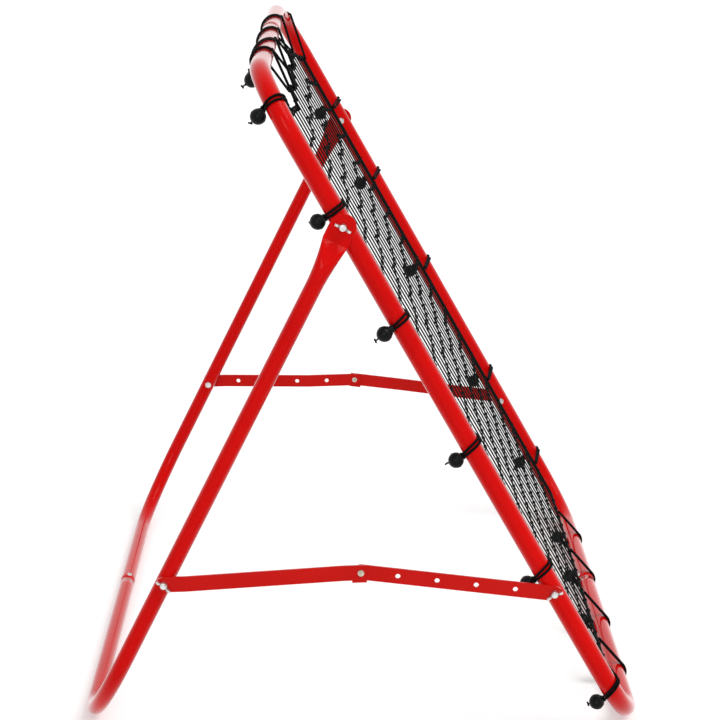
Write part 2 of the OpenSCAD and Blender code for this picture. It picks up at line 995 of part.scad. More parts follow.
// the ball that holds the lacing hangs behind the bar, its neck towards the bar's top
lace_ball_at = -0.765;            // its place, as a share of half the net's width
lace_ball_turn = -117;
lace_ball_dist = ball_dist + 1;
lace_neck = ball_r + 1.5;
lace_ball = [lace_ball_at * half_net, frame_rise + lace_ball_dist * cos(lace_ball_turn),
             lace_ball_dist * sin(lace_ball_turn)];
lace_neck_dir = unit([0.17, 0.85, 0.45]);
lace_mouth = lace_ball + (lace_neck + cord_r + 0.2) * lace_neck_dir;

// a knot's thickness along its cord, in cord radii
knot = [0.8, 1.9, 1.9];
knot_step = 4;
start_knot = [for (i = [0 : 2])
    [tie(1).x, tie(1).y + (3 - i) * knot_step, -hook_r - 1.5]];
// the far end is tied to the lacing's run behind the bar
run_back = [0.7 * half_net, frame_rise - 2, -lace_r];
end_knot = [for (i = [0 : 2])
    [0.91 * half_net, frame_rise - 20 + i * knot_step, -lace_r - 3 * cord_r]];
lace_route = concat(
    start_knot, lace_under(tie(1), hook_back, hook_front),
    lace_over(0, over_turn, -60), [lace_mouth],
    lace_over(1, -75, over_turn), lace_under(tie(2), hook_front, hook_back),
    lace_over(2, -over_turn, over_turn), lace_under(tie(3), hook_front, hook_back),
    lace_over(3, -over_turn, over_turn), lace_under(tie(4), hook_front, hook_back),
    [run_back],
    lace_corner(), lace_under(top_point(4, 0.95), hook_front, hook_back), end_knot);
lace_radii = cord_r * concat(
    knot, [for (i = [1 : len(lace_route) - 2 * len(knot)]) 1], [for (i = [2 : -1 : 0]) knot[i]]);

module top_lacing() {
    color("black")
        in_net_frame()
            cord_tube(lace_route, lace_radii);
}

module top_lacing_ball() {
    color("black")
        in_net_frame()
            translate(lace_ball)
                rotate([0, acos(lace_neck_dir.z), atan2(lace_neck_dir.y, lace_neck_dir.x)]) {
                    sphere(r = ball_r);
                    cylinder(r = neck_r, h = lace_neck);
                    translate([0, 0, -ball_r - nub_length])
                        cylinder(r = cord_r, h = ball_r);
                }
}

frame_half_left();
frame_half_right();
frame_screws();
rear_leg_left();
rear_leg_right();
rear_screw();
pivot_bolts();
front_stay_bolts();
rear_stay_bolts();
left_pivot_wing_nut();
right_pivot_wing_nut();
left_front_wing_nut();
right_front_wing_nut();
left_rear_wing_nut();
right_rear_wing_nut();
left_stay_perforated();
left_stay_plain();
right_stay_perforated();
right_stay_plain();
left_rivet_inner();
left_rivet_outer();
right_rivet_inner();
right_rivet_outer();
net();
net_border();
top_lacing();
top_lacing_ball();
left_ball_cords();
right_ball_cords();
bottom_ball_cords();
left_cord_balls();
right_cord_balls();
bottom_cord_balls();
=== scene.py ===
import math
import random

import bmesh
import bpy
from mathutils import Matrix, Vector


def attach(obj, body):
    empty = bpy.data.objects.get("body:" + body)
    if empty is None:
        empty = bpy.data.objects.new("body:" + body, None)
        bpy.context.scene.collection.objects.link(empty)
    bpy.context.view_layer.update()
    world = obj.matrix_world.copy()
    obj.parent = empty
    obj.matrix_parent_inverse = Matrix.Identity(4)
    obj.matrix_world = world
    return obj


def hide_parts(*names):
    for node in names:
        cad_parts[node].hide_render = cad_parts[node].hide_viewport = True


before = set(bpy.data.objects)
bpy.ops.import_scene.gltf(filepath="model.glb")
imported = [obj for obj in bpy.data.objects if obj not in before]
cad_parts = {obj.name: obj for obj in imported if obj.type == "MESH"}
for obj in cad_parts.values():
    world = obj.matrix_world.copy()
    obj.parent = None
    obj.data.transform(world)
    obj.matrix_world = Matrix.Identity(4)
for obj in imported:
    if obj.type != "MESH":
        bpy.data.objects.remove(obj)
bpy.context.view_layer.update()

MM = 0.001

# ------------------------------------------------------------------ sizes, in mm
# the driving dimensions of the part's source

FRAME_SPAN = 939
FRAME_RISE = 1064
FRAME_R = 14
FRAME_BEND_R = 95
NET_ANGLE = math.radians(60)

LEG_R = 11.75
LEG_LENGTH = 815
LEG_BEND_R = 135
PIVOT_S = 839
EAR_T = 3
EAR_FLAT = 22
EAR_TAPER = 66

# the visible joint between a frame's halves: how far it lies to the right of the middle (the
# solids have theirs at the middle), the rounding of the tube's end there, and the place of
# the next ring
SEAM_X = 87
SEAM_ROUND = 0.5
SEAM_NEXT = 20

CORD_R = 2
STRAND_R = 1.85
STRAND_Z = 2.4
BALL_R = 11
BALL_CLEAR = 2
BORDER_R = 2.5
PLAY = 0.3
NET_SIDE_GAP = 58
NET_LOW = 55
NET_TOP_GAP = 74
NET_CORNER = 12

# places of the ball cords, as shares of the frame's rise and span
LEFT_CORDS = [FRAME_RISE * share for share in (0.0733, 0.2641, 0.4586, 0.6485, 0.812, 0.9596)]
RIGHT_CORDS = [FRAME_RISE * share for share in (0.1151, 0.2871, 0.5099, 0.6847, 0.82)]
BOTTOM_CORDS = [FRAME_SPAN * share for share in (-0.293, -0.095, 0.11, 0.312)]
# where each side ball lies round its tube, and how far it hangs below its cord
LEFT_BALL_AT = (-90, -90, -88, -62, -88, -92)
LEFT_DROP = (19, 12, 11, 6, 5, 4)
RIGHT_BALL_AT = (-90, -86, -92, -88, -90)
RIGHT_DROP = (6, 8, 5, 7, 6)
BOTTOM_BALL_AT = -132
# how much of a ball's drop its cord still has where it meets the tube
LEAVE_SHARE = 0.5

# the upper border's ends and ties: shares of half the net's width, and heights in mm
TIE_AT = (-1, -0.55, -0.264, 0.153, 0.545, 1)
TIE_RISE = (0, -12, 4, 15, 22, -14)
SPAN_DIP = (0.02, 0.1, 0.1, 0.1, 0.03)

# values worked out from them, as in the part's source
SIDE_X = FRAME_SPAN / 2
WRAP_R = FRAME_R + PLAY + CORD_R
BAR_Z = WRAP_R + CORD_R - CORD_R / 5
PIVOT_Z = BAR_Z + PIVOT_S * math.sin(NET_ANGLE)
LEG_ANGLE = math.asin((PIVOT_Z - LEG_R) / LEG_LENGTH)
FOOT_SPREAD = PIVOT_S * math.cos(NET_ANGLE) + LEG_LENGTH * math.cos(LEG_ANGLE)
BAR_Y = -(FOOT_SPREAD + LEG_R - WRAP_R - CORD_R) / 2
PIVOT_Y = BAR_Y + PIVOT_S * math.cos(NET_ANGLE)
EAR_X = SIDE_X + FRAME_R + PLAY
LEG_X = EAR_X + LEG_R
EAR_R = math.pi * LEG_R / 2
HALF_NET = SIDE_X - NET_SIDE_GAP
NET_HIGH = FRAME_RISE - NET_TOP_GAP
BALL_DIST = FRAME_R + BALL_CLEAR + BALL_R

# each frame's own axes: X across, and Y up along the net frame, or down along the rear one
NET_FRAME = Matrix.Translation((0, BAR_Y * MM, BAR_Z * MM))
NET_FRAME = NET_FRAME @ Matrix.Rotation(NET_ANGLE, 4, "X")
REAR_FRAME = Matrix.Translation((0, PIVOT_Y * MM, PIVOT_Z * MM))
REAR_FRAME = REAR_FRAME @ Matrix.Rotation(-LEG_ANGLE, 4, "X")

# ------------------------------------------------------------------ camera

CAMERA_AT = (-3.0751, 0.0477, 1.2727)
CAMERA_TURN = (74.675, -0.583, -90.670)
CAMERA_LENS = 100.01


def make_camera():
    data = bpy.data.cameras.new("camera")
    data.sensor_width = 36
    data.lens = CAMERA_LENS
    data.clip_end = 200
    camera = bpy.data.objects.new("camera", data)
    camera.location = CAMERA_AT
    camera.rotation_euler = [math.radians(a) for a in CAMERA_TURN]
    bpy.context.scene.collection.objects.link(camera)
    bpy.context.scene.camera = camera


# ------------------------------------------------------------------ material helpers


class Nodes:
    """Builds one material's node tree."""

    def __init__(self, name):
        self.material = bpy.data.materials.new(name)
        self.material.use_nodes = True
        self.tree = self.material.node_tree
        self.shader = self.tree.nodes["Principled BSDF"]

    def add(self, kind, settings=None, **inputs):
        node = self.tree.nodes.new(kind)
        for key, value in (settings or {}).items():
            setattr(node, key, value)
        for key, value in inputs.items():
            self.put(node, key.replace("_", " "), value)
        return node

    def put(self, node, socket, value):
        self.feed(node.inputs[socket], value)

    def feed(self, target, value):
        """Links a socket to another node's output, or sets its value."""
        if hasattr(value, "is_output"):
            self.tree.links.new(value, target)
        else:
            target.default_value = value

    def set(self, **inputs):
        for key, value in inputs.items():
            self.put(self.shader, key.replace("_", " "), value)

    def position(self):
        return self.add("ShaderNodeTexCoord").outputs["Object"]

    def uv(self):
        return self.add("ShaderNodeTexCoord").outputs["UV"]

    def noise(self, vector, scale, detail=4.0, roughness=0.5):
        inputs = {"Vector": vector, "Scale": scale, "Detail": detail, "Roughness": roughness}
        return self.add("ShaderNodeTexNoise", **inputs).outputs["Fac"]

    def ramp(self, value, low, high, from_value=0.0, to_value=1.0):
        """Leads the values from low to high over to those from from_value to to_value."""
        node = self.add("ShaderNodeMapRange", {"clamp": True}, Value=value)
        ends = {"From Min": low, "From Max": high, "To Min": from_value, "To Max": to_value}
        for socket, number in ends.items():
            node.inputs[socket].default_value = number
        return node.outputs["Result"]

    def mix(self, factor, first, second):
        node = self.tree.nodes.new("ShaderNodeMix")
        node.data_type = "RGBA"
        sockets = {s.identifier: s for s in node.inputs}
        self.feed(sockets["Factor_Float"], factor)
        self.feed(sockets["A_Color"], first)
        self.feed(sockets["B_Color"], second)
        return next(s for s in node.outputs if s.identifier == "Result_Color")

    def math(self, operation, first, second=0.0):
        node = self.tree.nodes.new("ShaderNodeMath")
        node.operation = operation
        self.feed(node.inputs[0], first)
        self.feed(node.inputs[1], second)
        return node.outputs["Value"]

    def bump(self, height, distance, strength):
        node = self.add("ShaderNodeBump", Height=height, Distance=distance, Strength=strength)
        return node.outputs["Normal"]


def shade(red, green, blue):
    """A colour as the eye reads it, from 0 to 255, in the shader's linear values."""

    def linear(value):
        value /= 255
        return value / 12.92 if value <= 0.04045 else ((value + 0.055) / 1.055) ** 2.4

    return (linear(red), linear(green), linear(blue), 1.0)


# ------------------------------------------------------------------ materials


def painted_red(name, deep, light):
    """Red powder coat with a faint orange peel; its gloss grows where it is seen at a slant."""
    m = Nodes(name)
    at = m.position()
    patches = m.ramp(m.noise(at, 9.0), 0.35, 0.7)
    fine = m.noise(at, 120.0, detail=2.0)
    peel = m.noise(at, 420.0, detail=1.0)
    facing = m.add("ShaderNodeLayerWeight").outputs["Facing"]
    m.set(
        Base_Color=m.mix(patches, deep, light),
        Roughness=m.ramp(fine, 0.3, 0.7, 0.15, 0.2),
        Normal=m.bump(peel, 0.00002, 0.2),
        Coat_Weight=m.ramp(facing, 0.2, 0.75, 0.0, 0.85),
    )
    m.shader.inputs["Specular IOR Level"].default_value = 0.06
    m.shader.inputs["Coat Roughness"].default_value = 0.12
    m.shader.inputs["Coat IOR"].default_value = 1.5
    return m.material


def zinc_plate(name, bright, dull):
    """Bright zinc plating with a cloudy tint and fine turning marks."""
    m = Nodes(name)
    at = m.position()
    cloud = m.ramp(m.noise(at, 160.0), 0.3, 0.7)
    marks = m.noise(at, 2400.0, detail=3.0)
    m.set(
        Base_Color=m.mix(cloud, bright, dull),
        Roughness=m.ramp(cloud, 0.0, 1.0, 0.24, 0.4),
        Normal=m.bump(marks, 0.00003, 0.4),
    )
    m.shader.inputs["Metallic"].default_value = 1.0
    return m.material


def woven_cord(name, dark, light, turns):
    """Braided cover: two families of yarns cross over the cord, read from its UV; the grooves
    between the yarns carry painted shade and their crowns a painted highlight.
    """
    m = Nodes(name)
    uv = m.uv()
    split = m.add("ShaderNodeSeparateXYZ", Vector=uv)
    along = split.outputs["X"]
    around = m.math("MULTIPLY", split.outputs["Y"], turns)
    first = m.math("SINE", m.math("MULTIPLY", m.math("ADD", along, around), math.tau))
    second = m.math("SINE", m.math("MULTIPLY", m.math("SUBTRACT", along, around), math.tau))
    yarn = m.math("MULTIPLY", m.math("ABSOLUTE", first), m.math("ABSOLUTE", second))
    fuzz = m.noise(m.position(), 2600.0, detail=2.0)
    height = m.math("ADD", yarn, m.math("MULTIPLY", fuzz, 0.35))
    m.set(
        # painted shade and highlight: the colour follows the yarns' height, darker in the grooves
        # between yarns and lighter on their crowns, with the fuzz adding random tone
        Base_Color=m.mix(m.ramp(height, 0.1, 1.1), dark, light),
        Roughness=m.ramp(fuzz, 0.3, 0.7, 0.62, 0.78),
        Normal=m.bump(height, 0.00035, 0.7),
    )
    m.shader.inputs["Specular IOR Level"].default_value = 0.05
    return m.material


def moulded_plastic(name, dark, light):
    """Black moulded plastic with a fine spark grain."""
    m = Nodes(name)
    at = m.position()
    grain = m.noise(at, 1800.0, detail=3.0)
    cloud = m.ramp(m.noise(at, 60.0), 0.3, 0.7)
    m.set(
        Base_Color=m.mix(cloud, dark, light),
        Roughness=m.ramp(cloud, 0.0, 1.0, 0.28, 0.38),
        Normal=m.bump(grain, 0.00004, 0.4),
    )
    m.shader.inputs["Specular IOR Level"].default_value = 0.12
    return m.material


RED_PAINT = painted_red("red_paint", shade(206, 8, 6), shade(215, 11, 8))
STAY_PAINT = painted_red("stay_paint", shade(198, 20, 17), shade(206, 26, 21))
ZINC = zinc_plate("zinc_plate", (0.78, 0.78, 0.77, 1), (0.52, 0.52, 0.51, 1))
RIVET_ZINC = zinc_plate("rivet_zinc", (0.60, 0.56, 0.47, 1), (0.40, 0.37, 0.30, 1))
# each woven cover's darker tone is painted shade for the grooves between its yarns, and its
# lighter tone a painted highlight for the yarns' crowns
ELASTIC = woven_cord("elastic_cover", shade(6, 5, 6), shade(19, 18, 19), 6)
TWINE = woven_cord("net_twine", shade(8, 9, 9), shade(26, 28, 27), 4)
PLASTIC = moulded_plastic("ball_plastic", shade(4, 5, 6), shade(8, 9, 10))


# ------------------------------------------------------------------ shape helpers


class Shape:
    """Collects vertices, faces and UVs in mm and turns them into one piece."""

    def __init__(self):
        self.points = []
        self.faces = []
        self.uvs = []

    def add(self, points, faces, uvs):
        base = len(self.points)
        self.points += [Vector(p) for p in points]
        self.faces += [[base + i for i in face] for face in faces]
        self.uvs += uvs

    def piece(self, name, place, material, body, node, slot, smooth_angle=35):
        mesh = bpy.data.meshes.new(name)
        mesh.from_pydata([place @ (p * MM) for p in self.points], [], self.faces)
        layer = mesh.uv_layers.new(name="along_and_round")
        flat = [uv for face in self.uvs for uv in face]
        for loop, uv in zip(layer.data, flat):
            loop.uv = uv
        mesh.materials.append(material)
        outward = bmesh.new()
        outward.from_mesh(mesh)
        bmesh.ops.recalc_face_normals(outward, faces=outward.faces)
        outward.to_mesh(mesh)
        outward.free()
        mesh.polygons.foreach_set("use_smooth", [True] * len(mesh.polygons))
        mesh.set_sharp_from_angle(angle=math.radians(smooth_angle))
        obj = bpy.data.objects.new(name, mesh)
        bpy.context.scene.collection.objects.link(obj)
        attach(obj, body)
        for n in [node] if isinstance(node, str) else node:
            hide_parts(n)
        return obj

    def rings(self, rings, lengths, closed=False):
        """Joins rings of equally many points; lengths gives each ring's U value.

        The ends are capped, or joined to each other where the run is closed.
        """
        count = len(rings[0])
        points = [p for ring in rings for p in ring]
        faces, uvs = [], []
        last = len(rings) if closed else len(rings) - 1
        for i in range(last):
            j = (i + 1) % len(rings)
            for k in range(count):
                n = (k + 1) % count
                faces.append([i * count + k, j * count + k, j * count + n, i * count + n])
                u0, u1 = lengths[i], lengths[i + 1] if i + 1 < len(lengths) else lengths[i]
                v0, v1 = k / count, (k + 1) / count
                uvs.append([(u0, v0), (u1, v0), (u1, v1), (u0, v1)])
        if not closed:
            faces.append(list(range(count)))
            faces.append([(len(rings) - 1) * count + k for k in range(count)][::-1])
            uvs += [[(0, 0)] * count, [(0, 0)] * count]
        self.add(points, faces, uvs)


def route_frames(route, up, closed=False):
    """Directions along a route and two directions across it, turned as little as possible."""
    count = len(route)
    frames = []
    across = Vector(up)
    for i, p in enumerate(route):
        before = route[i - 1] if closed or i else p
        after = route[(i + 1) % count] if closed or i + 1 < count else p
        ahead = (after - before).normalized()
        across = (across - ahead * across.dot(ahead)).normalized()
        frames.append((p, ahead, across, ahead.cross(across)))
    return frames


def add_tube(shape, route, radius, sides=16, up=(0, 0, 1), yarn=4.0, closed=False):
    """A round tube along a route; radius is a number or one number for each point.

    yarn is the length of one repeat of a woven cover, in mm.
    """
    route = [Vector(p) for p in route]
    radii = radius if hasattr(radius, "__len__") else [radius] * len(route)
    rings, lengths, run = [], [], 0.0
    for i, (p, _, across, side) in enumerate(route_frames(route, up, closed)):
        if i:
            run += (route[i] - route[i - 1]).length
        lengths.append(run / yarn)
        angles = [math.tau * k / sides for k in range(sides)]
        rings.append([p + (across * math.cos(a) + side * math.sin(a)) * radii[i] for a in angles])
    if closed:
        lengths.append((run + (route[0] - route[-1]).length) / yarn)
    shape.rings(rings, lengths, closed)


def add_ball(shape, centre, radius, squash=(1, 1, 1), turn=None, rows=14, sides=24):
    """A ball, squashed along its own axes and turned."""
    turn = turn or Matrix.Identity(3)
    points, faces, uvs = [], [], []
    for i in range(1, rows):
        a = math.pi * i / rows
        for k in range(sides):
            b = math.tau * k / sides
            p = Vector((math.sin(a) * math.cos(b), math.sin(a) * math.sin(b), math.cos(a)))
            p = Vector([radius * s * c for s, c in zip(squash, p)])
            points.append(Vector(centre) + turn @ p)
    points.append(Vector(centre) + turn @ Vector((0, 0, radius * squash[2])))
    points.append(Vector(centre) - turn @ Vector((0, 0, radius * squash[2])))
    top, bottom = len(points) - 2, len(points) - 1
    for k in range(sides):
        n = (k + 1) % sides
        faces.append([top, k, n])
        faces.append([bottom, (rows - 2) * sides + n, (rows - 2) * sides + k])
        uvs += [[(0, 0)] * 3, [(0, 0)] * 3]
        for i in range(rows - 2):
            here, below = i * sides, (i + 1) * sides
            faces.append([here + k, below + k, below + n, here + n])
            uvs.append([(i, k), (i + 1, k), (i + 1, n), (i, n)])
    shape.add(points, faces, uvs)


def smooth_route(points, steps):
    """A Catmull-Rom curve through the points."""
    points = [Vector(p) for p in points]
    padded = [points[0]] + points + [points[-1]]
    route = []
    for i in range(1, len(padded) - 2):
        a, b, c, d = padded[i - 1 : i + 3]
        for k in range(steps):
            t = k / steps
            square = (2 * a - 5 * b + 4 * c - d) * t * t
            cube = (3 * b - a - 3 * c + d) * t**3
            route.append(0.5 * (2 * b + (c - a) * t + square + cube))
    route.append(points[-1])
    return route


# ------------------------------------------------------------------ tube frames

TUBE_SIDES = 48
FRAME_BEND_STEPS = 28
LEG_BEND_STEPS = 32
BAR_STEPS = 8
SIDE_STEPS = 20
LEG_STEPS = 24

# the leg's flattened ear and its taper: rings round the ear's end and along the taper; the
# pressed crease's depth, its width as a share of the half width and its length as a share of
# the taper; how steeply the edges round; and the powers that open the taper out
EAR_RINGS = 12
TAPER_RINGS = 36
CREASE_DEPTH = 4.0
CREASE_WIDTH = 0.32
CREASE_LENGTH = 0.45
EDGE_ROUND = 1.6
THICKNESS_POWER = 3.4
WIDTH_POWER = 1.8
AFTER_TAPER = 4


def arc(centre, radius, start, end, steps):
    turn = [math.radians(start + (end - start) * i / steps) for i in range(steps + 1)]
    x, y = centre
    return [Vector((x + radius * math.cos(a), y + radius * math.sin(a), 0)) for a in turn]


def spread(start, end, steps):
    start, end = Vector(start), Vector(end)
    return [start.lerp(end, i / steps) for i in range(steps + 1)]


def mirrored(points, side):
    return [Vector((p[0] * side, p[1], p[2])) for p in points]


def net_frame_half(side, name, node):
    """One bent half of the net frame; side is 1 for the right half and -1 for the left."""
    inner = SIDE_X - FRAME_BEND_R
    low = arc((inner, FRAME_BEND_R), FRAME_BEND_R, -90, 0, FRAME_BEND_STEPS)
    high = arc((inner, FRAME_RISE - FRAME_BEND_R), FRAME_BEND_R, 0, 90, FRAME_BEND_STEPS)
    seam = SEAM_X * side
    route = [Vector((seam, 0, 0)), Vector((seam + SEAM_ROUND, 0, 0))]
    route += spread((seam + SEAM_NEXT, 0, 0), low[0], BAR_STEPS)[:-1] + low
    route += spread(low[-1], high[0], SIDE_STEPS)[1:-1] + high
    route += spread(high[-1], (seam + SEAM_NEXT, FRAME_RISE, 0), BAR_STEPS)[1:]
    route += [Vector((seam + SEAM_ROUND, FRAME_RISE, 0)), Vector((seam, FRAME_RISE, 0))]
    radii = [FRAME_R] * len(route)
    radii[0] = radii[-1] = FRAME_R - SEAM_ROUND
    shape = Shape()
    add_tube(shape, mirrored(route, side), radii, sides=TUBE_SIDES)
    shape.piece(name, NET_FRAME, RED_PAINT, "main_frame", node, "frame_red", smooth_angle=60)


def stadium(half_width, half_thickness, dent):
    """The outline of a flattened tube across its run: thickness along X, width along Z."""
    flat = half_width - half_thickness
    ring = []
    for k in range(TUBE_SIDES):
        a = math.tau * k / TUBE_SIDES
        x, z = half_thickness * math.cos(a), half_thickness * math.sin(a)
        z += flat * max(-1.0, min(1.0, math.sin(a) * EDGE_ROUND))
        valley = math.exp(-((z / (CREASE_WIDTH * half_width)) ** 2))
        if x > 0:
            x -= dent * valley * math.cos(a)
        ring.append((x, z))
    return ring


def open_out(value):
    """The taper's thickness: it leaves the flat at a sharp crease and ends tangent to the tube."""
    return 1 - (1 - value) ** THICKNESS_POWER


def rear_leg(side, name, node):
    """One half of the rear frame: flattened ear, taper with a pressed crease, tube and bend."""
    taper_end = EAR_FLAT + EAR_TAPER
    shape = Shape()
    rings, lengths = [], []

    def add_section(t, half_width, half_thickness, dent):
        ring = stadium(half_width, half_thickness, dent)
        centre = EAR_X + half_thickness
        rings.append([Vector(((centre + x) * side, t, z)) for x, z in ring])
        lengths.append(t / 10)

    for i in range(EAR_RINGS + 1):
        a = math.pi / 2 * (1 - i / EAR_RINGS)
        # at the tip the half width stays a little over the half thickness
        add_section(-EAR_R * math.sin(a), max(EAR_R * math.cos(a), EAR_T * 0.51), EAR_T / 2, 0)
    add_section(EAR_FLAT / 2, EAR_R, EAR_T / 2, 0)
    for i in range(TAPER_RINGS + 1):
        f = i / TAPER_RINGS
        half_t = EAR_T / 2 + (LEG_R - EAR_T / 2) * open_out(f)
        half_w = LEG_R + (EAR_R - LEG_R) * (1 - f) ** WIDTH_POWER
        dent = CREASE_DEPTH * math.sin(math.pi * min(1.0, f / CREASE_LENGTH))
        add_section(EAR_FLAT + EAR_TAPER * f, half_w, half_t, dent)
    inner = LEG_X - LEG_BEND_R
    bend = arc((inner, LEG_LENGTH - LEG_BEND_R), LEG_BEND_R, 0, 90, LEG_BEND_STEPS)
    route = spread((LEG_X, taper_end + AFTER_TAPER, 0), bend[0], LEG_STEPS)[:-1] + bend
    seam = SEAM_X * side
    route += spread(bend[-1], (seam + SEAM_NEXT, LEG_LENGTH, 0), BAR_STEPS)[1:]
    route += [Vector((seam + SEAM_ROUND, LEG_LENGTH, 0)), Vector((seam, LEG_LENGTH, 0))]
    for i, (p, _, across, out) in enumerate(route_frames(route, (1, 0, 0))):
        r = LEG_R - SEAM_ROUND if i == len(route) - 1 else LEG_R
        angles = [math.tau * k / TUBE_SIDES for k in range(TUBE_SIDES)]
        ring = [p + (across * math.cos(a) - out * math.sin(a)) * r for a in angles]
        rings.append(mirrored(ring, side))
        lengths.append((taper_end + i * 20) / 10)
    shape.rings(rings, lengths)
    shape.piece(name, REAR_FRAME, RED_PAINT, "rear_frame", node, "frame_red", smooth_angle=60)


# ------------------------------------------------------------------ net

# the net's gaps follow from its size and the mesh's pitch in the photo, about 43 x 52 mm
NET_COLUMNS = 19
NET_ROWS = 18
COLUMN_R = 1.15
ROW_R = 0.9
CROSSING_SHIFT = 0.8
BORDER_PULL = 3.5
TWINE_LIFT = 0.9
TWINE_WAVE = 0.35
TWINE_YARN = 2.4
KNOT_R = 2.8
KNOT_SHAPE = (1.0, 1.45, 0.85)
KNOT_TURN = 0.5
# the net's end loops round the border cord
WHIP_R = 0.9
WHIP_LEAN = 0.8
WHIP_POINTS = 14


def tie(i):
    reach = HALF_NET - NET_CORNER if i in (0, 5) else HALF_NET
    return Vector((TIE_AT[i] * reach, NET_HIGH + TIE_RISE[i], 0))


def top_point(i, t):
    """A point of the upper border between ties i and i + 1, at the share t of the way."""
    span = tie(i + 1) - tie(i)
    return tie(i) + span * t - Vector((0, 4 * SPAN_DIP[i] * span.x * t * (1 - t), 0))


def border_top(x):
    """Height of the net's upper border: it hangs in curves between its ties."""
    for i in range(5):
        left, right = tie(i), tie(i + 1)
        if left.x <= x <= right.x:
            return top_point(i, (x - left.x) / (right.x - left.x)).y
    return tie(0).y if x < 0 else tie(5).y


def border_side(s, cords):
    """How far a side border is pulled in between its ball cords."""
    ties = [NET_LOW, *cords, NET_HIGH]
    for low, high in zip(ties, ties[1:]):
        if low <= s <= high:
            t = (s - low) / (high - low)
            return BORDER_PULL * 4 * t * (1 - t)
    return 0.0


def net_point(column, row, rng=None):
    """A crossing of the net; the borders' curves fade out towards its middle."""
    fx, fy = column / NET_COLUMNS, row / NET_ROWS
    x = (2 * fx - 1) * HALF_NET
    s = NET_LOW + (border_top(x) - NET_LOW) * fy
    x += border_side(s, LEFT_CORDS) * (1 - fx) - border_side(s, RIGHT_CORDS) * fx
    if rng:
        x += rng.uniform(-CROSSING_SHIFT, CROSSING_SHIFT)
        s += rng.uniform(-CROSSING_SHIFT, CROSSING_SHIFT)
    return Vector((x, s, 0))


def make_net():
    rng = random.Random(7)
    crossings = {}
    for column in range(NET_COLUMNS + 1):
        for row in range(NET_ROWS + 1):
            edge = column in (0, NET_COLUMNS) or row in (0, NET_ROWS)
            crossings[column, row] = net_point(column, row, None if edge else rng)
    shape = Shape()
    for column in range(1, NET_COLUMNS):
        line = [crossings[column, row] for row in range(NET_ROWS + 1)]
        add_tube(shape, twine_run(line, TWINE_LIFT), COLUMN_R, sides=8, yarn=TWINE_YARN)
    for row in range(1, NET_ROWS):
        line = [crossings[column, row] for column in range(NET_COLUMNS + 1)]
        add_tube(shape, twine_run(line, -TWINE_LIFT), ROW_R, sides=8, yarn=TWINE_YARN)
    for column in range(1, NET_COLUMNS):
        for row in range(1, NET_ROWS):
            turn = Matrix.Rotation(rng.uniform(-KNOT_TURN, KNOT_TURN), 3, "Z")
            knot = crossings[column, row]
            add_ball(shape, knot, KNOT_R, KNOT_SHAPE, turn, rows=6, sides=8)
    shape.piece("net_mesh", NET_FRAME, TWINE, "main_frame", "net", "net_black", smooth_angle=60)


def twine_run(line, lift):
    """The twine's line through its crossings, with a small wave over and under them."""
    route = []
    for a, b in zip(line, line[1:]):
        for k in range(4):
            t = k / 4
            p = a.lerp(b, t)
            p.z += lift * TWINE_WAVE * math.sin(math.pi * t)
            route.append(p)
    route.append(line[-1])
    return route


def make_border():
    """The thick border cord, one closed loop that follows the net's edges."""
    corner = NET_CORNER
    route = []
    count = 96
    edge = [net_point(NET_COLUMNS * i / count, 0) for i in range(count + 1)]
    right = [net_point(NET_COLUMNS, NET_ROWS * i / count) for i in range(count + 1)]
    top = [top_point(4 - i // 20, 1 - i % 20 / 20) for i in range(100)] + [tie(0)]
    left = [net_point(0, NET_ROWS * (1 - i / count)) for i in range(count + 1)]
    for line, at, start in (
        (edge, (HALF_NET - corner, NET_LOW + corner), -90),
        (right, (HALF_NET - corner, tie(5).y - corner), 0),
        (top, (corner - HALF_NET, tie(0).y - corner), 90),
        (left, (corner - HALF_NET, NET_LOW + corner), 180),
    ):
        reach = 1 if line is top else corner
        first, last = line[0], line[-1]
        inside = [p for p in line if (p - first).length > reach and (p - last).length > reach]
        route += inside + arc(at, corner, start, start + 90, 8)
    shape = Shape()
    add_tube(shape, route, BORDER_R - 0.3, sides=14, yarn=5.0, closed=True)
    rng = random.Random(3)
    # the net's end loops, whipped round the border cord
    for column in range(1, NET_COLUMNS):
        for row in (0, NET_ROWS):
            add_whip(shape, net_point(column, row), (1, 0, 0), rng)
    for row in range(1, NET_ROWS):
        for column in (0, NET_COLUMNS):
            add_whip(shape, net_point(column, row), (0, 1, 0), rng)
    slots = ("main_frame", "net_border", "cord_black")
    shape.piece("net_border_cord", NET_FRAME, TWINE, *slots, smooth_angle=60)


def add_whip(shape, at, along, rng):
    """A loop of twine round the border cord."""
    along = Vector(along)
    across = Vector((-along.y, along.x, 0))
    r = BORDER_R + 0.3
    lean = rng.uniform(-WHIP_LEAN, WHIP_LEAN)
    ring = []
    for k in range(WHIP_POINTS):
        a = math.tau * k / WHIP_POINTS
        p = at + across * r * math.cos(a) + Vector((0, 0, r)) * math.sin(a)
        ring.append(p + along * lean * math.cos(a))
    add_tube(shape, ring, WHIP_R, sides=6, up=along, closed=True)


# ------------------------------------------------------------------ ball cords

WRAP_STEPS = 30
BIGHT_STEPS = 12
# how fast a cord's drop runs out round the tube, and the most that its strands part there
FALL_RATE = 1.4
STRANDS_PART = 0.45

# a ball's seam rib; its neck, as distances from the centre with the neck's half sizes; and
# its knot's tail, as distances with radii, ending in a short bar
RIB_R = 0.45
NECK = (
    (6, 5.2, 7.8),
    (9, 4.4, 7.2),
    (10.8, 3.4, 5.2),
    (12.6, 3.0, 5.0),
    (14.6, 3.1, 5.6),
    (15.6, 2.7, 5.2),
)
TAIL = ((BALL_R - 2, 2.4), (BALL_R, 2.0), (BALL_R + 1, 1.2), (BALL_R + 5.6, 1.1))
TAIL_BAR_AT = BALL_R + 5.4
TAIL_BAR = ((-3.4, 0.9), (-3, 1.35), (0, 1.25), (3, 1.35), (3.4, 0.9))


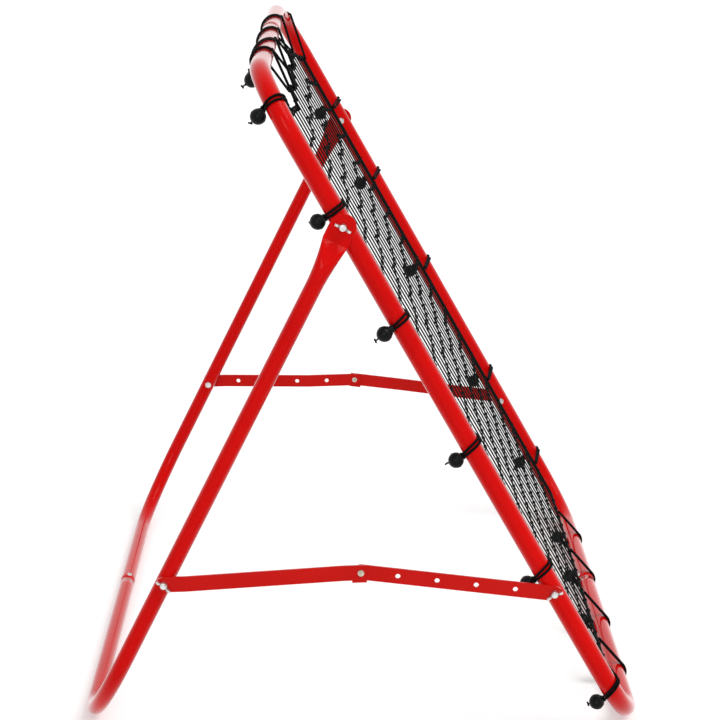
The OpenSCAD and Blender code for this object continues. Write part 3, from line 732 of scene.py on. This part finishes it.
def ball_centre(ball_at):
    return Vector((math.cos(ball_at), math.sin(ball_at), 0)) * BALL_DIST


def leave_angle(ball_at):
    return ball_at + math.acos(WRAP_R / BALL_DIST)


def on_wrap(angle):
    return Vector((math.cos(angle), math.sin(angle), 0)) * (FRAME_R + STRAND_R + 0.1)


def ball_frame(ball_at, drop):
    """A ball's centre, the way its cord leaves it, and the turn that points its +X that way."""
    centre = ball_centre(ball_at) + Vector((0, 0, drop))
    leave = on_wrap(leave_angle(ball_at)) + Vector((0, 0, drop * LEAVE_SHARE))
    ahead = (leave - centre).normalized()
    up = (Vector((0, 0, 1)) - ahead * ahead.z).normalized()
    return centre, ahead, Matrix((ahead, up.cross(ahead), up)).transposed()


def ball_cord_route(ball_at, reach, spread_out, drop):
    """A doubled cord round a tube whose axis is Z: +X points away from the net, +Y to the player.

    The ball sits lower along the tube by drop, and the strands part by the share spread_out.
    """
    hook = Vector((-reach - 2, BORDER_R + PLAY + STRAND_R, 0))
    start = leave_angle(ball_at)
    end = math.atan2(hook.y, hook.x) - math.acos(on_wrap(0).x / hook.length)
    centre, ahead, _ = ball_frame(ball_at, drop)
    leave = on_wrap(start) + Vector((0, 0, drop * LEAVE_SHARE))
    inside = centre + ahead * (BALL_R - 3)
    strand = [(p, 1.0) for p in [inside] + spread(inside, leave, 4)[1:-1]]
    for i in range(WRAP_STEPS + 1):
        f = i / WRAP_STEPS
        fall = drop * LEAVE_SHARE * max(0.0, 1 - FALL_RATE * f) ** 2
        gap = 1 + spread_out * math.sin(math.pi * f)
        strand.append((on_wrap(start + (end - start) * f) + Vector((0, 0, fall)), gap))
    strand += [(p, 1.0) for p in spread(on_wrap(end), hook, 8)[1:-1]]
    run = (hook - on_wrap(end)).normalized()
    low = [p - Vector((0, 0, STRAND_Z * gap)) for p, gap in strand]
    high = [p + Vector((0, 0, STRAND_Z * gap)) for p, gap in strand]
    bight = []
    for i in range(BIGHT_STEPS + 1):
        a = math.radians(-90 + 180 * i / BIGHT_STEPS)
        over = Vector((0, 0, STRAND_Z * math.sin(a)))
        bight.append(hook + run * STRAND_Z * math.cos(a) + over)
    return low + bight + high[::-1]


def ball_shape(spin, tail=(-1, 0, 0)):
    """A ball about the origin: its seam rib, the wide neck along +X and the knot's tail."""
    part = Shape()
    add_ball(part, (0, 0, 0), BALL_R - 0.15, rows=22, sides=36)
    turn = Matrix.Rotation(spin, 3, "X")
    rib = [Vector((0, math.cos(a), math.sin(a))) for a in round_angles(40)]
    rib = [turn @ p * (BALL_R - 0.25) for p in rib]
    add_tube(part, rib, RIB_R, sides=8, up=turn @ Vector((1, 0, 0)), closed=True)
    angles = round_angles(24)
    rings = [[Vector((x, y * math.cos(a), z * math.sin(a))) for a in angles] for x, y, z in NECK]
    part.rings(rings, [x / 4 for x, _, _ in NECK])
    tail = Vector(tail).normalized()
    stem = [tail * d for d, _ in TAIL]
    add_tube(part, stem, [r for _, r in TAIL], sides=14, up=(0, 1, 0.3))
    across = turn @ Vector((0, 0, 1))
    across = (across - tail * across.dot(tail)).normalized()
    bar = [tail * TAIL_BAR_AT + across * d for d, _ in TAIL_BAR]
    add_tube(part, bar, [r for _, r in TAIL_BAR], sides=12, up=tail)
    return part


def add_cord_ball(shape, ball_at, drop, place, spin):
    part = ball_shape(spin, (-1, 0.25 * math.cos(3 * spin), 0.35 * math.sin(5 * spin)))
    centre, _, turn = ball_frame(ball_at, drop)
    shape.add([place @ (centre + turn @ p) for p in part.points], part.faces, part.uvs)


def round_angles(count):
    return [math.tau * i / count for i in range(count)]


def side_place(side, s):
    """Puts a ball cord's drawing on a side tube or its bends at height s, in the net frame."""
    low, high = FRAME_BEND_R, FRAME_RISE - FRAME_BEND_R
    bend_s = min(max(s, low), high)
    tilt = math.asin((s - bend_s) / FRAME_BEND_R)
    x = SIDE_X - FRAME_BEND_R + FRAME_BEND_R * math.cos(tilt)
    at = Matrix.Translation((side * x, bend_s + FRAME_BEND_R * math.sin(tilt), 0))
    turn = tilt if side > 0 else math.pi - tilt
    return at @ Matrix.Rotation(turn, 4, "Z") @ Matrix.Rotation(math.pi / 2, 4, "X")


def bottom_place(x):
    at = Matrix.Translation((x, 0, 0))
    return at @ Matrix.Rotation(-math.pi / 2, 4, "Z") @ Matrix.Rotation(math.pi / 2, 4, "X")


def make_ball_cords(label, cords, reach, seed):
    """One side's cords; each is its place, its ball's angle and the drop along the tube."""
    strands, balls = Shape(), Shape()
    rng = random.Random(seed)
    for place, ball_at, drop in cords:
        ball_at = math.radians(ball_at)
        spread_out = rng.uniform(0.0, STRANDS_PART)
        route = [place @ p for p in ball_cord_route(ball_at, reach, spread_out, drop)]
        up = place.to_3x3() @ Vector((0, 0, 1))
        add_tube(strands, route, STRAND_R, sides=16, up=up)
        add_cord_ball(balls, ball_at, drop, place, rng.uniform(0, math.pi))
    cords_node, balls_node = label + "_ball_cords", label + "_cord_balls"
    name = label + "_elastic_cords"
    strands.piece(name, NET_FRAME, ELASTIC, "main_frame", cords_node, "cord_black")
    name = label + "_balls"
    balls.piece(name, NET_FRAME, PLASTIC, "main_frame", balls_node, "ball_black")


# ------------------------------------------------------------------ top lacing

LACE_R = FRAME_R + CORD_R
HOOK_R = BORDER_R + CORD_R + 1
OVER_TURN = 98
HOOK_FRONT = 80
HOOK_BACK = 280
BEND_TURN = 52
# where round the bar, in degrees, the two runs part from it towards the ball
FIRST_LEAVES = -60
SECOND_LEAVES = -75
LACE_KNOT_R = 3.8
LACE_KNOT_SHAPE = (1.0, 1.3, 1.0)

# where the lacing crosses the top bar, as shares of half the net's width, and how far it
# moves along the bar for each degree of its turn
CROSS_AT = (-0.682, -0.48, -0.06, 0.395)
CROSS_SLANT = (0.3, 0.95, 0.6, 0.65)

BALL_TURN = math.radians(-121)
LACE_BALL = Vector(
    (
        -0.76 * HALF_NET,
        FRAME_RISE + (BALL_DIST + 1) * math.cos(BALL_TURN),
        (BALL_DIST + 1) * math.sin(BALL_TURN),
    )
)
NECK_DIR = Vector((0.17, 0.85, 0.45)).normalized()


def turn_points(from_turn, to_turn, steps):
    return [from_turn + (to_turn - from_turn) * i / steps for i in range(steps + 1)]


def lace_over(i, from_turn, to_turn):
    """The lacing's turn over the bar at crossing i."""
    route = []
    for a in turn_points(from_turn, to_turn, 12):
        t = math.radians(a)
        x = CROSS_AT[i] * HALF_NET + a * CROSS_SLANT[i]
        route.append(Vector((x, FRAME_RISE + LACE_R * math.cos(t), LACE_R * math.sin(t))))
    return route


def lace_under(point, from_turn, to_turn):
    """The lacing's turn round the border at a point."""
    turns = [math.radians(a) for a in turn_points(from_turn, to_turn, 4)]
    return [point + Vector((0, HOOK_R * math.cos(t), HOOK_R * math.sin(t))) for t in turns]


def lace_corner():
    """One turn over the right upper bend."""
    out = Vector((math.cos(math.radians(BEND_TURN)), math.sin(math.radians(BEND_TURN)), 0))
    centre = Vector((SIDE_X - FRAME_BEND_R, FRAME_RISE - FRAME_BEND_R, 0)) + FRAME_BEND_R * out
    route = []
    for a in turn_points(-OVER_TURN, OVER_TURN, 12):
        t = math.radians(a)
        route.append(centre + out * LACE_R * math.cos(t) + Vector((0, 0, LACE_R * math.sin(t))))
    return route


def make_lacing():
    """The lacing's two runs, the knots at their hidden ends, and the ball that joins them."""
    start = [Vector((tie(1).x, tie(1).y + y, -HOOK_R - 2)) for y in (12, 8, 4)]
    end = [Vector((0.91 * HALF_NET, FRAME_RISE - 20 + y, -LACE_R - 6)) for y in (0, 4, 8)]
    mouth = LACE_BALL + NECK_DIR * (BALL_R + 3.7)
    first = start + lace_under(tie(1), HOOK_BACK, HOOK_FRONT)
    first += lace_over(0, OVER_TURN, FIRST_LEAVES) + [mouth]
    second = [mouth] + lace_over(1, SECOND_LEAVES, OVER_TURN)
    for i in (2, 3):
        second += lace_under(tie(i), HOOK_FRONT, HOOK_BACK) + lace_over(i, -OVER_TURN, OVER_TURN)
    second += lace_under(tie(4), HOOK_FRONT, HOOK_BACK)
    second += [Vector((0.7 * HALF_NET, FRAME_RISE - 2, -LACE_R))] + lace_corner()
    second += lace_under(top_point(4, 0.95), HOOK_FRONT, HOOK_BACK) + end
    shape = Shape()
    add_tube(shape, smooth_route(first, 4), CORD_R, sides=16)
    add_tube(shape, smooth_route(second, 4), CORD_R, sides=16)
    for knot in (start[1], end[1]):
        add_ball(shape, knot, LACE_KNOT_R, LACE_KNOT_SHAPE, rows=10, sides=16)
    shape.piece("top_lacing_cord", NET_FRAME, ELASTIC, "main_frame", "top_lacing", "cord_black")
    turn = NECK_DIR.to_track_quat("X", "Z").to_matrix()
    part = ball_shape(0.6, turn.transposed() @ Vector((0, -0.1, -1)))
    ball = Shape()
    ball.add([LACE_BALL + turn @ p for p in part.points], part.faces, part.uvs)
    slots = ("main_frame", "top_lacing_ball", "ball_black")
    ball.piece("top_lacing_end_ball", NET_FRAME, PLASTIC, *slots)


# ------------------------------------------------------------------ carried-over metal parts


def dress(names, material):
    """Gives carried-over CAD pieces their material; their shapes stay as they are."""
    for name in names:
        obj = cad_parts[name]
        obj.data.materials.clear()
        obj.data.materials.append(material)


def dress_metal():
    sides = ("left", "right")
    stays = [f"{s}_stay_{kind}" for s in sides for kind in ("perforated", "plain")]
    rivets = [f"{s}_rivet_{kind}" for s in sides for kind in ("inner", "outer")]
    nuts = [f"{s}_{where}_wing_nut" for s in sides for where in ("pivot", "front", "rear")]
    bolts = ["pivot_bolts", "front_stay_bolts", "rear_stay_bolts"]
    screws = ["frame_screws", "rear_screw"]
    dress(stays, STAY_PAINT)
    dress(rivets, RIVET_ZINC)
    dress(nuts + bolts + screws, ZINC)


# ------------------------------------------------------------------ stage


WORLD_LIGHT = 0.55
# each sun: strength, width in degrees, and the way it comes from
SUNS = ((1.4, 34, (-0.25, -0.5, 0.85)), (0.55, 20, (-1.0, 0.15, 0.35)))
FLOOR_GLOW = 0.36
FLOOR_HALF = 40


def make_floor():
    """A plain white floor that keeps the object's shadow and is white to camera and gloss."""
    m = Nodes("pale_floor")
    path = m.add("ShaderNodeLightPath")
    seen = m.math("MAXIMUM", path.outputs["Is Camera Ray"], path.outputs["Is Glossy Ray"])
    seen = m.math("MAXIMUM", seen, path.outputs["Is Transmission Ray"])
    m.set(Base_Color=(0.8, 0.8, 0.8, 1), Roughness=0.9)
    m.shader.inputs["Emission Color"].default_value = (1, 1, 1, 1)
    m.tree.links.new(m.math("MULTIPLY", seen, FLOOR_GLOW), m.shader.inputs["Emission Strength"])
    m.shader.inputs["Specular IOR Level"].default_value = 0.0
    mesh = bpy.data.meshes.new("floor")
    half = FLOOR_HALF
    corners = [(-half, -half, 0), (half, -half, 0), (half, half, 0), (-half, half, 0)]
    mesh.from_pydata(corners, [], [(0, 1, 2, 3)])
    mesh.materials.append(m.material)
    floor = bpy.data.objects.new("floor", mesh)
    bpy.context.scene.collection.objects.link(floor)


def make_light():
    """An even white surround and wide suns, the same all over the floor."""
    world = bpy.data.worlds.new("studio")
    world.use_nodes = True
    tree = world.node_tree
    background = tree.nodes["Background"]
    path = tree.nodes.new("ShaderNodeLightPath")
    seen = path.outputs["Is Camera Ray"]
    for ray in ("Is Glossy Ray", "Is Transmission Ray"):
        largest = tree.nodes.new("ShaderNodeMath")
        largest.operation = "MAXIMUM"
        tree.links.new(seen, largest.inputs[0])
        tree.links.new(path.outputs[ray], largest.inputs[1])
        seen = largest.outputs["Value"]
    strength = tree.nodes.new("ShaderNodeMapRange")
    strength.inputs["To Min"].default_value = WORLD_LIGHT
    strength.inputs["To Max"].default_value = 1.0
    tree.links.new(seen, strength.inputs["Value"])
    tree.links.new(strength.outputs["Result"], background.inputs["Strength"])
    background.inputs["Color"].default_value = (1, 1, 1, 1)
    bpy.context.scene.world = world
    for number, (energy, width, come_from) in enumerate(SUNS):
        data = bpy.data.lights.new(f"sun_{number}", "SUN")
        data.energy = energy
        data.angle = math.radians(width)
        lamp = bpy.data.objects.new(f"sun_{number}", data)
        lamp.rotation_euler = (-Vector(come_from)).to_track_quat("-Z", "Y").to_euler()
        bpy.context.scene.collection.objects.link(lamp)


# ------------------------------------------------------------------ making the scene

make_camera()
make_floor()
make_light()
net_frame_half(-1, "net_frame_left", "frame_half_left")
net_frame_half(1, "net_frame_right", "frame_half_right")
rear_leg(-1, "rear_frame_left", "rear_leg_left")
rear_leg(1, "rear_frame_right", "rear_leg_right")
make_net()
make_border()
left_cords = zip(LEFT_CORDS, LEFT_BALL_AT, LEFT_DROP)
left_cords = [(side_place(-1, s), at, -drop) for s, at, drop in left_cords]
make_ball_cords("left", left_cords, NET_SIDE_GAP, 1)
right_cords = zip(RIGHT_CORDS, RIGHT_BALL_AT, RIGHT_DROP)
right_cords = [(side_place(1, s), at, drop) for s, at, drop in right_cords]
make_ball_cords("right", right_cords, NET_SIDE_GAP, 2)
bottom_cords = [(bottom_place(x), BOTTOM_BALL_AT, 0) for x in BOTTOM_CORDS]
make_ball_cords("bottom", bottom_cords, NET_LOW, 3)
make_lacing()
dress_metal()

bpy.context.scene.view_settings.view_transform = "Standard"
